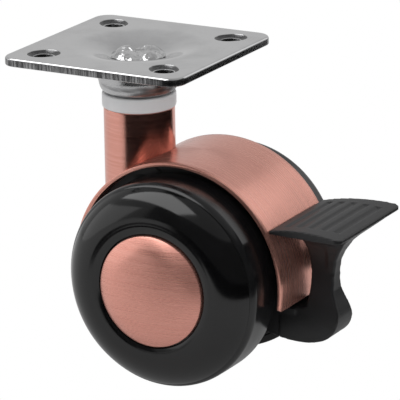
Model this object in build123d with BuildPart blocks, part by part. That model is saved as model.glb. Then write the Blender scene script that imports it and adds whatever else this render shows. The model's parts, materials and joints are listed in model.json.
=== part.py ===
from build123d import *
import os
from math import asin, atan2, cos, degrees, hypot, radians, sin, sqrt

os.makedirs("parts", exist_ok=True)

# Swivel plate castor with two wheels and a foot brake, in millimetres.
# The origin is on the swivel axis, in the plane of the mounting plate's top face.
# +Z is up, +X points to the trailing side with the pedal, and the axle runs along Y.

# Mounting plate
plate_side = 48.0
plate_thickness = 2.0
plate_corner_radius = 4.0
plate_edge_round = 0.6
hole_spacing = 32.5
hole_radius = 2.3
hole_mouth_length = 8.2
hole_mouth_width = 7.0
hole_mouth_depth = 1.2
dish_radius = 15.0
dish_depth = 1.3
well_radius = 8.8
well_depth = 2.5
well_wall_run = 0.9

# Stem tube
tube_radius = 8.55
tube_wall = 1.5
tube_bottom_z = -50.0
stem_pin_radius = 1.5
stem_pin_z = -47.0

# Swivel head
cup_overhang = 1.3
cup_flare = 0.35
cup_corner = 1.85
cup_wall = 1.0
cup_rim_z = -3.45
cup_side_z = -8.0
cup_bottom_z = -10.9
rivet_step = 1.0
rivet_head_overhang = 2.2
rivet_head_height = 1.9
rivet_dimple_depth = 0.6
rivet_lobes = 4
rivet_notch_radius = 1.5
rivet_turn = 74.0
spacer_width = 2.5
kingpin_end_z = -43.5
kingpin_groove_depth = 0.7
kingpin_chamfer = 0.6
clip_thickness = 0.8
clip_gap_angle = 50.0
washer_thickness = 0.6

# Swivel bushes
bush_wall = 1.98
bush_collar_overhang = 0.35
bush_collar_height = 3.6
bush_collar_round = 0.6
bush_sleeve_length = 10.0
lower_bush_top_z = -34.0
lower_bush_bottom_z = -40.0

# Axle and wheels
axle_x = 17.2
axle_z = -51.25
axle_radius = 4.0
axle_stub = 1.1
axle_chamfer = 0.4
wheel_radius = 25.0
wheel_side_gap = 1.0
tread_width = 11.0
tread_taper_start = 6.1
tread_inner_round = 0.6
tread_thickness = 1.8
shoulder_drop = 0.9
drum_wall = 1.7
drum_lip_inset = 0.5
face_bulge = 4.3
face_crest_inset = 8.6
face_inner_drop = 0.3
face_ring_width = 11.05
face_wall = 3.1
web_depth = 1.3
web_thickness = 2.5
hub_wall = 2.4
hub_side_gap = 0.5
hub_reach = 1.0
wheel_bush_wall = 2.0
cap_gap = 0.45
cap_rim_rise = 0.3
cap_dome_rise = 2.5
cap_wall = 0.8
cap_skirt_length = 3.5
cap_groove_depth = 0.8
axle_clip_width = 2.2
axle_clip_thickness = 0.6
axle_clip_teeth = 6
axle_clip_tooth_length = 1.2
axle_clip_slit_width = 0.8
spacer_washer_width = 3.2

# Hood and carrier
hood_gap = 1.85
hood_wall = 1.0
hood_overlap = 2.7
hood_end_angle = -10.0
hood_front_angle = 190.0
hood_corner_radius = 1.2
carrier_half_width = 9.9
carrier_lower_inset = 4.5
lever_slot_half_width = 4.4
lever_slot_end_gap = 0.7
lever_slot_top_z = 6.0
pocket_depth = 3.0
pocket_rim = 2.2
pocket_corner = 1.0
pocket_sweep = 23.0
pocket_starts = ((24.0, 51.0, 78.0), (199.0, 226.0, 253.0))

# Brake lever: X and Z are counted from the axle, depths from the inner side of the web
brake_angle = 12.0
pivot_drum_gap = 8.5
pivot_height = 12.0
pivot_pin_radius = 2.0
pivot_boss_radius = 4.0
bar_drum_gap = 4.8
bar_z = 0.8
bar_radius = 1.8
bar_boss_radius = 3.3
bar_slot_gap = 0.5
bar_stub = 0.6
pad_radius = 2.5
pad_lip_gap = 0.3
pad_length = 4.5
lever_half_width = 4.0
web_gap = 1.85
web_bottom_angle = -12.0
pedal_gap = 1.08
pedal_length = 19.5
pedal_inner_z = 14.9
pedal_crown_z = 16.2
pedal_outer_z = 15.6
pedal_edge_thickness = 0.9
pedal_inner_half_width = 13.6
pedal_outer_half_width = 16.3
pedal_corner_radius = 1.6
root_depth = 12.3
root_half_width = 13.6
root_z = 14.6
brow_depth = 10.0
brow_half_width = 6.4
brow_z = 12.8
neck_depth = 6.8
neck_half_width = 2.6
neck_z = 9.4
waist_depth = 5.3
waist_half_width = 1.7
waist_z = 2.5
calf_depth = 6.3
calf_z = -3.3
heel_depth = 7.9
heel_z = -8.5
heel_low_depth = 6.3
heel_low_z = -12.2
sole_outer_depth = 2.3
sole_outer_z = -14.4
sole_depth = -3.2
sole_z = -14.95
sole_inner_depth = -7.2
sole_inner_z = -14.5
sole_front_depth = -11.7
sole_front_z = -13.6
arm_top_z = -7.0
groove_count = 5
groove_pitch = 3.25
groove_radius = 1.5
groove_depth = 0.3
groove_margin = 2.4
spring_thickness = 0.4
spring_half_width = 3.3
spring_half_length = 5.3
spring_lift_gap = 0.3

# Clearances
running_clearance = 0.05
press_clearance = 0.02
thrust_gap = 0.1

# Places worked out from the sizes above: swivel
tube_bore_radius = tube_radius - tube_wall
sleeve_radius = tube_bore_radius - press_clearance
bush_bore_radius = sleeve_radius - bush_wall
kingpin_radius = bush_bore_radius - running_clearance
washer_radius = tube_bore_radius - 9 * running_clearance
clip_radius = tube_bore_radius - 11 * running_clearance
groove_bottom_radius = kingpin_radius - kingpin_groove_depth
rivet_radius = kingpin_radius - rivet_step
rivet_head_radius = rivet_radius + rivet_head_overhang
rivet_hole_radius = rivet_radius + press_clearance
spacer_radius = rivet_radius + spacer_width
bush_collar_radius = tube_radius + bush_collar_overhang
cup_side_radius = tube_radius + cup_overhang
cup_rim_radius = cup_side_radius + cup_flare
cup_floor_radius = cup_side_radius - cup_corner
well_floor_z = -well_depth
well_underside_z = well_floor_z - plate_thickness
dish_border = dish_radius + plate_thickness / 2
cup_floor_z = cup_bottom_z + cup_wall
bush_top_z = cup_bottom_z - thrust_gap
bush_bottom_z = bush_top_z - bush_collar_height
washer_top_z = lower_bush_bottom_z - thrust_gap
washer_bottom_z = washer_top_z - washer_thickness
clip_top_z = washer_bottom_z - running_clearance
clip_bottom_z = clip_top_z - clip_thickness

# Places worked out from the sizes above: Y from the mid plane outwards
hub_inner_y = carrier_half_width + hub_side_gap
wheel_inner_y = carrier_half_width + wheel_side_gap
wheel_shoulder_y = wheel_inner_y + tread_width
tread_taper_y = wheel_inner_y + tread_taper_start
drum_lip_y = wheel_inner_y + drum_lip_inset
web_outer_y = wheel_shoulder_y - web_depth
web_inner_y = web_outer_y - web_thickness
hub_outer_y = wheel_shoulder_y + hub_reach
face_crest_y = wheel_shoulder_y + face_bulge
face_inner_y = face_crest_y - face_inner_drop
cap_rim_y = face_inner_y + cap_rim_rise
cap_apex_y = cap_rim_y + cap_dome_rise
cap_skirt_y = cap_rim_y - cap_skirt_length
cap_groove_y = face_inner_y - cap_groove_depth
axle_half_length = hub_outer_y + axle_stub
hood_half_width = wheel_inner_y + hood_overlap
pad_inner_y = drum_lip_y + pad_lip_gap
pad_outer_y = pad_inner_y + pad_length
bar_half_length = pad_outer_y + bar_stub

# Places worked out from the sizes above: wheels, hood, carrier and lever
wheel_shoulder_radius = wheel_radius - shoulder_drop
tread_bore_radius = wheel_radius - tread_thickness
drum_radius = tread_bore_radius - drum_wall
face_crest_radius = wheel_radius - face_crest_inset
face_inner_radius = wheel_radius - face_ring_width
cap_radius = face_inner_radius - cap_gap
cap_bore = cap_radius - cap_wall
dome_radius = (cap_radius**2 + cap_dome_rise**2) / (2 * cap_dome_rise)
wheel_bush_radius = axle_radius + wheel_bush_wall
hub_radius = wheel_bush_radius + hub_wall
spacer_washer_radius = axle_radius + spacer_washer_width
axle_clip_radius = axle_radius + axle_clip_width
hood_bore_radius = wheel_radius + hood_gap
hood_radius = hood_bore_radius + hood_wall
carrier_radius = hood_bore_radius - 2 * running_clearance
carrier_lower_radius = wheel_radius - carrier_lower_inset
web_gap_radius = hood_radius + web_gap
web_top_angle = degrees(asin((pedal_inner_z - 0.8 * pedal_edge_thickness) / web_gap_radius))
pedal_inner_x = sqrt((hood_radius + pedal_gap) ** 2 - pedal_inner_z**2)
pedal_outer_x = pedal_inner_x + pedal_length
pivot_x = drum_radius - pivot_drum_gap
pivot_z = pivot_height - drum_radius
bar_x = drum_radius - bar_drum_gap
lever_slot_front_x = pivot_x - pivot_boss_radius - lever_slot_end_gap
bar_reach = hypot(bar_x - pivot_x, bar_z - pivot_z)

# Planes: one in the castor's mid plane with its origin on the axle, one facing backwards
side_plane = Plane(origin=(axle_x, 0, axle_z), x_dir=(1, 0, 0), z_dir=(0, -1, 0))
back_plane = Plane(origin=(axle_x, 0, axle_z), x_dir=(0, 1, 0), z_dir=(1, 0, 0))
axle_axis = Axis((axle_x, 0, axle_z), (0, 1, 0))
hands = (("left", -1), ("right", 1))


# How far out the cap's dome is at radius r, or the surface that lies depth below it
def dome_y(r, depth=0.0):
    return cap_apex_y - dome_radius + sqrt((dome_radius - depth) ** 2 - r**2)


def finish(part, name):
    part.label = name
    export_step(part, f"parts/{name}.step")


# Mounting plate: a rounded square with a dished centre and four screw holes
with BuildPart() as mounting_plate:
    with BuildSketch(Plane.XY):
        RectangleRounded(plate_side, plate_side, plate_corner_radius)
        Circle(dish_border, mode=Mode.SUBTRACT)
    extrude(amount=-plate_thickness)
    outer_rim = mounting_plate.faces().sort_by(Axis.Z)[-1].outer_wire().edges()
    fillet(outer_rim, plate_edge_round)
    with BuildSketch(Plane.XZ):
        with BuildLine():
            Polyline(
                (dish_border, -plate_thickness),
                (dish_border, 0),
                (dish_radius, 0),
                (well_radius, -dish_depth),
                (well_radius - well_wall_run, well_floor_z),
                (rivet_hole_radius, well_floor_z),
                (rivet_hole_radius, well_underside_z),
                (cup_rim_radius - 1.6 * cup_wall, well_underside_z),
                (cup_rim_radius - 1.1 * cup_wall, cup_rim_z + running_clearance),
                (dish_radius + 0.15 * plate_thickness, -plate_thickness),
                close=True,
            )
        make_face()
    revolve(axis=Axis.Z)
    hole_places = [
        (i * hole_spacing / 2, j * hole_spacing / 2, 45 * i * j) for i in (-1, 1) for j in (-1, 1)
    ]
    for x, y, turn in hole_places:
        with BuildSketch(Plane.XY):
            with Locations(Location((x, y, 0), turn)):
                SlotOverall(hole_mouth_length, hole_mouth_width)
        extrude(
            amount=-hole_mouth_depth,
            taper=degrees(atan2(hole_mouth_width / 2 - hole_radius, hole_mouth_depth)),
            mode=Mode.SUBTRACT,
        )
    with GridLocations(hole_spacing, hole_spacing, 2, 2):
        Hole(hole_radius)
finish(mounting_plate.part, "mounting_plate")

# Kingpin: riveted through the plate, with a lobed head in the dish and a groove for its clip
head_top_z = well_floor_z + rivet_head_height
with BuildPart() as kingpin:
    with BuildSketch(Plane.XZ):
        with BuildLine():
            ThreePointArc(
                (0, head_top_z - rivet_dimple_depth),
                (rivet_head_radius * 0.3, head_top_z - rivet_dimple_depth * 0.6),
                (rivet_head_radius * 0.55, head_top_z),
            )
            ThreePointArc(
                (rivet_head_radius * 0.55, head_top_z),
                (rivet_head_radius * 0.86, head_top_z - rivet_head_height * 0.28),
                (rivet_head_radius, well_floor_z + rivet_head_height * 0.25),
            )
            Polyline(
                (rivet_head_radius, well_floor_z + rivet_head_height * 0.25),
                (rivet_head_radius, well_floor_z),
                (rivet_radius, well_floor_z),
                (rivet_radius, cup_bottom_z),
                (kingpin_radius, cup_bottom_z),
                (kingpin_radius, clip_top_z + running_clearance),
                (groove_bottom_radius, clip_top_z + running_clearance),
                (groove_bottom_radius, clip_bottom_z - running_clearance),
                (kingpin_radius, clip_bottom_z - running_clearance),
                (kingpin_radius, kingpin_end_z + kingpin_chamfer),
                (kingpin_radius - kingpin_chamfer, kingpin_end_z),
                (0, kingpin_end_z),
                (0, head_top_z - rivet_dimple_depth),
            )
        make_face()
    revolve(axis=Axis.Z)
    with PolarLocations(rivet_head_radius, rivet_lobes, start_angle=rivet_turn):
        with Locations((0, 0, head_top_z)):
            Sphere(rivet_notch_radius, mode=Mode.SUBTRACT)
finish(kingpin.part, "kingpin")

# Head spacer: the ring that the rivet squeezes between plate and cup
with BuildPart() as head_spacer:
    with BuildSketch(Plane.XY.offset(cup_floor_z)):
        Circle(spacer_radius)
        Circle(rivet_hole_radius, mode=Mode.SUBTRACT)
    extrude(amount=well_underside_z - cup_floor_z)
finish(head_spacer.part, "head_spacer")

# Swivel cup: a drawn steel bowl with a rounded lower edge
with BuildPart() as swivel_cup:
    with BuildSketch(Plane.XZ):
        with BuildLine():
            Line((cup_rim_radius, cup_rim_z), (cup_side_radius, cup_side_z))
            ThreePointArc(
                (cup_side_radius, cup_side_z),
                (
                    cup_side_radius - 0.26 * (cup_side_radius - cup_floor_radius),
                    cup_side_z + 0.66 * (cup_bottom_z - cup_side_z),
                ),
                (cup_floor_radius, cup_bottom_z),
            )
            Polyline(
                (cup_floor_radius, cup_bottom_z),
                (rivet_hole_radius, cup_bottom_z),
                (rivet_hole_radius, cup_floor_z),
                (cup_floor_radius - cup_wall / 2, cup_floor_z),
                (cup_side_radius - cup_wall, cup_side_z),
                (cup_rim_radius - cup_wall, cup_rim_z),
                (cup_rim_radius, cup_rim_z),
            )
        make_face()
    revolve(axis=Axis.Z)
finish(swivel_cup.part, "swivel_cup")

# Kingpin washer and clip: they keep the swivel from dropping off its pin
with BuildPart() as kingpin_washer:
    with BuildSketch(Plane.XY.offset(washer_bottom_z)):
        Circle(washer_radius)
        Circle(kingpin_radius + running_clearance, mode=Mode.SUBTRACT)
    extrude(amount=washer_thickness)
finish(kingpin_washer.part, "kingpin_washer")

with BuildPart() as kingpin_clip:
    with BuildSketch(Plane.XY.offset(clip_bottom_z)):
        Circle(clip_radius)
        Circle(groove_bottom_radius + press_clearance, mode=Mode.SUBTRACT)
        with BuildLine():
            Polyline(
                (0, 0),
                (2 * clip_radius * cos(radians(clip_gap_angle / 2)),
                 2 * clip_radius * sin(radians(clip_gap_angle / 2))),
                (2 * clip_radius * cos(radians(clip_gap_angle / 2)),
                 -2 * clip_radius * sin(radians(clip_gap_angle / 2))),
                close=True,
            )
        make_face(mode=Mode.SUBTRACT)
    extrude(amount=clip_thickness)
finish(kingpin_clip.part, "kingpin_clip")

# Swivel bush: a nylon collar on the tube's mouth with a sleeve inside it
with BuildPart() as swivel_bush:
    with BuildSketch(Plane.XY.offset(bush_bottom_z)):
        Circle(bush_collar_radius)
    extrude(amount=bush_collar_height)
    fillet(swivel_bush.edges().filter_by(GeomType.CIRCLE), bush_collar_round)
    with BuildSketch(Plane.XY.offset(bush_bottom_z)):
        Circle(sleeve_radius)
    extrude(amount=-bush_sleeve_length)
    Hole(bush_bore_radius)
finish(swivel_bush.part, "swivel_bush")

with BuildPart() as lower_bush:
    with BuildSketch(Plane.XY.offset(lower_bush_bottom_z)):
        Circle(sleeve_radius)
        Circle(bush_bore_radius, mode=Mode.SUBTRACT)
    extrude(amount=lower_bush_top_z - lower_bush_bottom_z)
finish(lower_bush.part, "lower_bush")

# Stem tube: carries the bushes and is pinned in the carrier
with BuildPart() as stem_tube:
    with BuildSketch(Plane.XY.offset(tube_bottom_z)):
        Circle(tube_radius)
        Circle(tube_bore_radius, mode=Mode.SUBTRACT)
    extrude(amount=bush_bottom_z - tube_bottom_z)
    with BuildSketch(Plane.XZ):
        with Locations((0, stem_pin_z)):
            Circle(stem_pin_radius + press_clearance)
    extrude(amount=tube_radius + 1, both=True, mode=Mode.SUBTRACT)
finish(stem_tube.part, "stem_tube")

with BuildPart() as stem_pin:
    with BuildSketch(Plane.XZ):
        with Locations((0, stem_pin_z)):
            Circle(stem_pin_radius)
    extrude(amount=carrier_half_width - thrust_gap, both=True)
finish(stem_pin.part, "stem_pin")

# Hood: a bent strip over the wheels, with a saddle-shaped hole for the tube
with BuildPart() as hood:
    with BuildSketch(side_plane):
        with BuildLine():
            outer = CenterArc((0, 0), hood_radius, hood_end_angle, hood_front_angle - hood_end_angle)
            inner = CenterArc((0, 0), hood_bore_radius, hood_end_angle, hood_front_angle - hood_end_angle)
            Line(outer @ 0, inner @ 0)
            Line(outer @ 1, inner @ 1)
        make_face()
    extrude(amount=hood_half_width, both=True)
    corners = hood.edges().filter_by(lambda edge: abs(edge.length - hood_wall) < 0.01)
    fillet(corners, hood_corner_radius)
    with BuildSketch(Plane.XY.offset(axle_z + hood_wall)):
        Circle(tube_radius + running_clearance)
    extrude(amount=hood_radius, mode=Mode.SUBTRACT)
finish(hood.part, "hood")

# Carrier: the moulded core between the wheels, with the tube's socket and the lever's slot
with BuildPart() as carrier:
    with BuildSketch(side_plane):
        Circle(carrier_radius)
        with Locations((0, carrier_radius * sin(radians(hood_end_angle)) + hood_corner_radius / 2)):
            Rectangle(
                3 * carrier_radius, 2 * carrier_radius,
                align=(Align.CENTER, Align.MAX), mode=Mode.SUBTRACT,
            )
        Circle(carrier_lower_radius)
    extrude(amount=carrier_half_width, both=True)
    with BuildSketch(side_plane):
        with Locations((lever_slot_front_x, lever_slot_top_z)):
            Rectangle(2 * carrier_radius, 2 * carrier_radius, align=(Align.MIN, Align.MAX))
    extrude(amount=lever_slot_half_width, both=True, mode=Mode.SUBTRACT)
    with BuildSketch(side_plane):
        with Locations((lever_slot_front_x, pivot_z)):
            Rectangle(
                spring_thickness, 2 * spring_half_length + 2 * running_clearance,
                align=(Align.MAX, Align.CENTER),
            )
    extrude(amount=spring_half_width + running_clearance, both=True, mode=Mode.SUBTRACT)
    with BuildSketch(side_plane):
        Circle(axle_radius + press_clearance)
        with Locations((pivot_x, pivot_z)):
            Circle(pivot_pin_radius + press_clearance)
        with Locations((-axle_x, stem_pin_z - axle_z)):
            Circle(stem_pin_radius + press_clearance)
        rest_angle = degrees(atan2(bar_z - pivot_z, bar_x - pivot_x))
        with BuildLine():
            slot_path = CenterArc((pivot_x, pivot_z), bar_reach, rest_angle, -brake_angle)
        SlotArc(slot_path, 2 * (bar_radius + bar_slot_gap))
    extrude(amount=carrier_half_width, both=True, mode=Mode.SUBTRACT)
    for starts, outer_radius in zip(pocket_starts, (carrier_radius, carrier_lower_radius)):
        for start in starts:
            for side in (-1, 1):
                with BuildSketch(side_plane.offset(-side * carrier_half_width)) as pocket:
                    with BuildLine():
                        outer = CenterArc((0, 0), outer_radius - pocket_rim, start, pocket_sweep)
                        inner = CenterArc((0, 0), hub_radius + thrust_gap, start, pocket_sweep)
                        Line(outer @ 0, inner @ 0)
                        Line(outer @ 1, inner @ 1)
                    make_face()
                    fillet(pocket.vertices(), pocket_corner)
                extrude(amount=side * pocket_depth, mode=Mode.SUBTRACT)
    with BuildSketch(Plane.XY.offset(tube_bottom_z)):
        Circle(tube_radius + running_clearance)
    extrude(amount=2 * hood_radius, mode=Mode.SUBTRACT)
finish(carrier.part, "carrier")

# Axle
with BuildPart() as axle:
    with BuildSketch(side_plane):
        Circle(axle_radius)
    extrude(amount=axle_half_length, both=True)
    chamfer(axle.edges().filter_by(GeomType.CIRCLE), axle_chamfer)
finish(axle.part, "axle")

# Wheels, one set for each side
for hand, side in hands:

    def at(y, r):
        return (side * y, r)

    # Wheel: hub, web, brake drum inside and a rounded face ring outside
    with BuildPart() as wheel:
        with BuildSketch(back_plane):
            with BuildLine():
                ThreePointArc(
                    at(wheel_shoulder_y, wheel_shoulder_radius),
                    at(wheel_shoulder_y + 0.74 * (face_crest_y - wheel_shoulder_y),
                       face_crest_radius + 0.58 * (wheel_shoulder_radius - face_crest_radius)),
                    at(face_crest_y, face_crest_radius),
                )
                ThreePointArc(
                    at(face_crest_y, face_crest_radius),
                    at(face_crest_y - 0.27 * (face_crest_y - face_inner_y),
                       (face_crest_radius + face_inner_radius) / 2),
                    at(face_inner_y, face_inner_radius),
                )
                Polyline(
                    at(face_inner_y, face_inner_radius),
                    at(cap_groove_y, face_inner_radius - 2 * thrust_gap),
                    at(cap_groove_y, cap_radius + running_clearance),
                    at(web_outer_y, cap_radius + running_clearance),
                    at(web_outer_y, hub_radius),
                    at(hub_outer_y, hub_radius),
                    at(hub_outer_y, wheel_bush_radius + press_clearance),
                    at(hub_inner_y, wheel_bush_radius + press_clearance),
                    at(hub_inner_y, hub_radius),
                    at(web_inner_y, hub_radius),
                    at(web_inner_y, cap_bore),
                    at(face_crest_y - face_wall, face_crest_radius),
                    at(face_crest_y - face_wall, face_crest_radius + 0.55 * face_wall),
                    at(wheel_shoulder_y - 0.4 * drum_wall, drum_radius),
                    at(drum_lip_y, drum_radius),
                    at(drum_lip_y, tread_bore_radius - running_clearance),
                    at(wheel_shoulder_y, tread_bore_radius - running_clearance),
                    at(wheel_shoulder_y, wheel_shoulder_radius),
                )
            make_face()
        revolve(axis=axle_axis)
    finish(wheel.part, f"{hand}_wheel")

    # Tread: a thin tyre, tapered a little towards the outer edge
    with BuildPart() as tread:
        with BuildSketch(back_plane):
            with BuildLine():
                Line(
                    at(wheel_inner_y + tread_inner_round, wheel_radius),
                    at(tread_taper_y, wheel_radius),
                )
                ThreePointArc(
                    at(tread_taper_y, wheel_radius),
                    at((tread_taper_y + wheel_shoulder_y) / 2,
                       wheel_radius - 0.25 * (wheel_radius - wheel_shoulder_radius)),
                    at(wheel_shoulder_y, wheel_shoulder_radius),
                )
                Polyline(
                    at(wheel_shoulder_y, wheel_shoulder_radius),
                    at(wheel_shoulder_y, tread_bore_radius),
                    at(wheel_inner_y, tread_bore_radius),
                    at(wheel_inner_y, wheel_radius - tread_inner_round),
                )
                ThreePointArc(
                    at(wheel_inner_y, wheel_radius - tread_inner_round),
                    at(wheel_inner_y + 0.29 * tread_inner_round, wheel_radius - 0.29 * tread_inner_round),
                    at(wheel_inner_y + tread_inner_round, wheel_radius),
                )
            make_face()
        revolve(axis=axle_axis)
    finish(tread.part, f"{hand}_tread")

    # Wheel bush: an acetal sleeve that turns on the axle
    with BuildPart() as wheel_bush:
        with BuildSketch(back_plane):
            with BuildLine():
                Polyline(
                    at(hub_inner_y, axle_radius + running_clearance),
                    at(hub_inner_y, wheel_bush_radius),
                    at(hub_outer_y, wheel_bush_radius),
                    at(hub_outer_y, axle_radius + running_clearance),
                    close=True,
                )
            make_face()
        revolve(axis=axle_axis)
    finish(wheel_bush.part, f"{hand}_wheel_bush")

    # Cap: a domed copper shell pressed into the wheel's face, inner and outer dome on one centre
    with BuildPart() as wheel_cap:
        with BuildSketch(back_plane):
            with BuildLine():
                ThreePointArc(
                    at(dome_y(0), 0),
                    at(dome_y(cap_radius / 2), cap_radius / 2),
                    at(cap_rim_y, cap_radius),
                )
                Polyline(
                    at(cap_rim_y, cap_radius),
                    at(cap_skirt_y, cap_radius),
                    at(cap_skirt_y, cap_bore),
                    at(dome_y(cap_bore, cap_wall), cap_bore),
                )
                ThreePointArc(
                    at(dome_y(cap_bore, cap_wall), cap_bore),
                    at(dome_y(cap_bore / 2, cap_wall), cap_bore / 2),
                    at(dome_y(0, cap_wall), 0),
                )
                Line(at(dome_y(0, cap_wall), 0), at(dome_y(0), 0))
            make_face()
        revolve(axis=axle_axis)
    finish(wheel_cap.part, f"{hand}_wheel_cap")

    # Spacer washer between carrier and hub
    with BuildPart() as spacer_washer:
        with BuildSketch(side_plane.offset(-side * (carrier_half_width + running_clearance))):
            Circle(spacer_washer_radius)
            Circle(axle_radius + running_clearance, mode=Mode.SUBTRACT)
        extrude(amount=-side * (hub_inner_y - carrier_half_width - 2 * running_clearance))
    finish(spacer_washer.part, f"{hand}_spacer_washer")

    # Axle clip: a toothed push-on ring at the axle's end
    with BuildPart() as axle_clip:
        with BuildSketch(side_plane.offset(-side * (hub_outer_y + thrust_gap))):
            Circle(axle_clip_radius)
            Circle(axle_radius + press_clearance, mode=Mode.SUBTRACT)
            with PolarLocations(axle_radius, axle_clip_teeth):
                Rectangle(2 * axle_clip_tooth_length, axle_clip_slit_width, mode=Mode.SUBTRACT)
        extrude(amount=-side * axle_clip_thickness)
    finish(axle_clip.part, f"{hand}_axle_clip")

    # Brake pad: a rubber sleeve on the brake bar's end
    with BuildPart() as brake_pad:
        with BuildSketch(side_plane.offset(-side * pad_inner_y)):
            with Locations((bar_x, bar_z)):
                Circle(pad_radius)
                Circle(bar_radius + press_clearance, mode=Mode.SUBTRACT)
        extrude(amount=-side * (pad_outer_y - pad_inner_y))
    finish(brake_pad.part, f"{hand}_brake_pad")

# Lever web: an upright rib, thin at its waist, that reaches round the hood's end
with BuildPart() as lever_web:
    with BuildSketch(side_plane):
        with BuildLine():
            gap_arc = CenterArc((0, 0), web_gap_radius, web_bottom_angle, web_top_angle - web_bottom_angle)
            back_edge = Spline(
                (web_gap_radius + root_depth, root_z),
                (web_gap_radius + brow_depth, brow_z),
                (web_gap_radius + neck_depth, neck_z),
                (web_gap_radius + waist_depth, waist_z),
                (web_gap_radius + calf_depth, calf_z),
                (web_gap_radius + heel_depth, heel_z),
                (web_gap_radius + heel_low_depth, heel_low_z),
                (web_gap_radius + sole_outer_depth, sole_outer_z),
                (web_gap_radius + sole_depth, sole_z),
                (web_gap_radius + sole_inner_depth, sole_inner_z),
            )
            Line(gap_arc @ 1, back_edge @ 0)
            Polyline(back_edge @ 1, (web_gap_radius + sole_inner_depth, arm_top_z), gap_arc @ 0)
        make_face()
    extrude(amount=pedal_outer_half_width, both=True)
    with BuildSketch(back_plane):
        for mirrored in (-1, 1):
            with BuildLine():
                flank = Spline(
                    (mirrored * lever_half_width, sole_z - bar_slot_gap),
                    (mirrored * lever_half_width, heel_z),
                    (mirrored * waist_half_width, waist_z),
                    (mirrored * neck_half_width, neck_z),
                    (mirrored * brow_half_width, brow_z),
                    (mirrored * root_half_width, root_z),
                )
                Polyline(flank @ 1, (0, root_z), (0, sole_z - bar_slot_gap), flank @ 0)
            make_face()
    extrude(amount=2 * pedal_outer_x, mode=Mode.INTERSECT)

# Brake lever: pedal plate, web, foot and the arm that carries the brake bar, in one moulding
with BuildPart() as brake_lever:
    with BuildSketch(side_plane):
        with BuildLine():
            crown_x = (pedal_inner_x + pedal_outer_x) / 2
            pedal_top = ThreePointArc(
                (pedal_inner_x, pedal_inner_z), (crown_x, pedal_crown_z), (pedal_outer_x, pedal_outer_z)
            )
            Polyline(
                pedal_top @ 1,
                (pedal_outer_x, pedal_outer_z - pedal_edge_thickness),
                (pedal_inner_x, pedal_inner_z - pedal_edge_thickness),
                pedal_top @ 0,
            )
        make_face()
    extrude(amount=pedal_outer_half_width, both=True)
    with BuildSketch(Plane.XY.offset(axle_z)):
        with BuildLine():
            Polyline(
                (axle_x + pedal_inner_x, -pedal_inner_half_width),
                (axle_x + pedal_outer_x, -pedal_outer_half_width),
                (axle_x + pedal_outer_x, pedal_outer_half_width),
                (axle_x + pedal_inner_x, pedal_inner_half_width),
                close=True,
            )
        make_face()
    extrude(amount=2 * pedal_crown_z, mode=Mode.INTERSECT)
    outer_corners = brake_lever.edges().filter_by(
        lambda edge: edge.length < 2 * pedal_edge_thickness and edge.center().X > axle_x + crown_x
    )
    fillet(outer_corners, pedal_corner_radius)
    for i in range(groove_count):
        share = 0.5 + (i - (groove_count - 1) / 2) * groove_pitch / (pedal_outer_x - pedal_inner_x)
        groove_at = pedal_top @ share
        with BuildSketch(side_plane):
            with Locations((groove_at.X, groove_at.Y + groove_radius - groove_depth)):
                Circle(groove_radius)
        extrude(amount=pedal_inner_half_width - groove_margin, both=True, mode=Mode.SUBTRACT)
    add(lever_web.part)
    with BuildSketch(side_plane):
        with BuildLine():
            Polyline(
                (pivot_x, pivot_z - pivot_boss_radius),
                (web_gap_radius + sole_front_depth, sole_front_z),
                (web_gap_radius + sole_inner_depth, sole_inner_z),
                (web_gap_radius + sole_depth, sole_z),
                (web_gap_radius + sole_depth, arm_top_z),
                (web_gap_radius + sole_inner_depth, arm_top_z),
                (bar_x + bar_boss_radius, bar_z),
                (bar_x - bar_boss_radius, bar_z),
                (pivot_x - pivot_boss_radius, pivot_z),
                close=True,
            )
        make_face()
        with Locations((pivot_x, pivot_z)):
            Circle(pivot_boss_radius)
        with Locations((bar_x, bar_z)):
            Circle(bar_boss_radius)
    extrude(amount=lever_half_width, both=True)
    with BuildSketch(side_plane):
        with Locations((pivot_x, pivot_z)):
            Circle(pivot_pin_radius + running_clearance)
        with Locations((bar_x, bar_z)):
            Circle(bar_radius + press_clearance)
    extrude(amount=2 * lever_half_width, both=True, mode=Mode.SUBTRACT)
finish(brake_lever.part, "brake_lever")

# Lever pin, brake bar and the spring that clicks the lever into place
with BuildPart() as lever_pin:
    with BuildSketch(side_plane):
        with Locations((pivot_x, pivot_z)):
            Circle(pivot_pin_radius)
    extrude(amount=carrier_half_width - thrust_gap, both=True)
finish(lever_pin.part, "lever_pin")

with BuildPart() as brake_bar:
    with BuildSketch(side_plane):
        with Locations((bar_x, bar_z)):
            Circle(bar_radius)
    extrude(amount=bar_half_length, both=True)
finish(brake_bar.part, "brake_bar")

with BuildPart() as detent_spring:
    spring_foot_x = lever_slot_front_x - spring_thickness + running_clearance
    spring_crest_x = pivot_x - pivot_boss_radius - spring_lift_gap - spring_thickness
    with BuildSketch(side_plane):
        with BuildLine():
            back = ThreePointArc(
                (spring_foot_x, pivot_z - spring_half_length),
                (spring_crest_x, pivot_z),
                (spring_foot_x, pivot_z + spring_half_length),
            )
            front = ThreePointArc(
                (spring_foot_x + spring_thickness, pivot_z - spring_half_length),
                (spring_crest_x + spring_thickness, pivot_z),
                (spring_foot_x + spring_thickness, pivot_z + spring_half_length),
            )
            Line(back @ 0, front @ 0)
            Line(back @ 1, front @ 1)
        make_face()
    extrude(amount=spring_half_width, both=True)
finish(detent_spring.part, "detent_spring")
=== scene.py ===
# Swivel plate castor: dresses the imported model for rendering. Metres, in the model's own frame.
import json
from math import atan2, copysign, cos, hypot, pi, radians, sin, sqrt, tan

import bmesh
import bpy
import numpy as np
from mathutils import Matrix, Vector
from mathutils.geometry import delaunay_2d_cdt


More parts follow.
